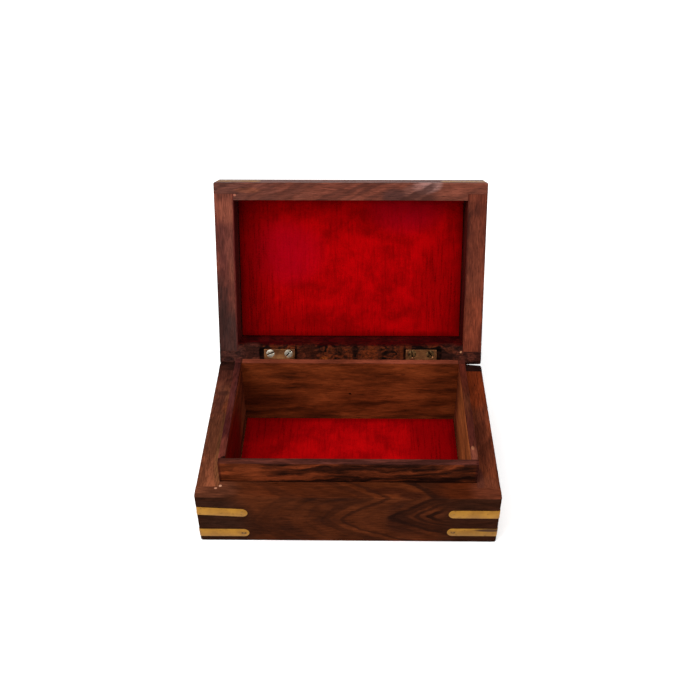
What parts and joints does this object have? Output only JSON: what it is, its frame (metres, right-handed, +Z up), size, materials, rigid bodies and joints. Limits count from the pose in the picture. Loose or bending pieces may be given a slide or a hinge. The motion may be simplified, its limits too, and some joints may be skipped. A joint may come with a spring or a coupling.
{
  "type": "lidded wooden box",
  "caption": "Rectangular hardwood keepsake box standing open: lid on butt hinges, brass straps let into the corners, a standing inner liner and red velvet lining.",
  "frame": {"origin": "middle of the base's underside, on the table", "axes": "+Z up, +X to the right seen from the front, the front faces -Y and the open lid leans back towards +Y"},
  "size_m": [0.1524, 0.1651, 0.1288],
  "materials": {
    "base_front_wood": "oiled, dark brown with darker figure",
    "base_back_wood": "oiled, very dark brown",
    "base_side_wood": "oiled, reddish brown",
    "panel_wood": "planed, plain",
    "liner_long_wood": "planed and oiled",
    "liner_side_wood": "planed and oiled, lighter",
    "lid_front_wood": "oiled, with dark diagonal streaks",
    "lid_back_wood": "oiled, black mottled figure",
    "lid_side_wood": "oiled, reddish brown with dark streaks",
    "lid_top_wood": "oiled",
    "lining_card": "plain card",
    "velvet": "crimson velvet, brushed pile",
    "strap_brass": "sanded flush, dull",
    "hinge_brass": "pressed sheet, tarnished",
    "brass_pin": "dull",
    "screw_steel": "plated, worn",
    "brad_iron": "dark iron"
  },
  "bodies": {
    "base": {"base_front_board": "base_front_wood", "base_back_board": "base_back_wood", "base_left_board": "base_side_wood", "base_right_board": "base_side_wood", "bottom_panel": "panel_wood", "base_lining_card": "lining_card", "base_velvet": "velvet", "liner_front": "liner_long_wood", "liner_back": "liner_long_wood", "liner_left": "liner_side_wood", "liner_right": "liner_side_wood", "liner_brad": "brad_iron", "base_strap_pins": "brass_pin", "strap_front_left_upper": "strap_brass", "strap_front_left_lower": "strap_brass", "strap_front_right_upper": "strap_brass", "strap_front_right_lower": "strap_brass", "strap_back_left_upper": "strap_brass", "strap_back_left_lower": "strap_brass", "strap_back_right_upper": "strap_brass", "strap_back_right_lower": "strap_brass", "left_hinge_base_leaf": "hinge_brass", "left_hinge_pin": "brass_pin", "left_hinge_base_screws": "screw_steel", "right_hinge_base_leaf": "hinge_brass", "right_hinge_pin": "brass_pin", "right_hinge_base_screws": "screw_steel"},
    "lid": {"lid_front_board": "lid_front_wood", "lid_back_board": "lid_back_wood", "lid_left_board": "lid_side_wood", "lid_right_board": "lid_side_wood", "lid_top_panel": "lid_top_wood", "lid_lining_card": "lining_card", "lid_velvet": "velvet", "lid_strap_pins": "brass_pin", "lid_strap_front_left": "strap_brass", "lid_strap_front_right": "strap_brass", "lid_strap_back_left": "strap_brass", "lid_strap_back_right": "strap_brass", "left_hinge_lid_leaf": "hinge_brass", "left_hinge_lid_screws": "screw_steel", "right_hinge_lid_leaf": "hinge_brass", "right_hinge_lid_screws": "screw_steel"}
  },
  "joints": [
    {"name": "lid_hinge", "type": "hinge", "parent": "base", "child": "lid", "pos_m": [0, 0.05165, 0.0332], "axis": [1, 0, 0], "range_deg": [0, 113]}
  ]
}
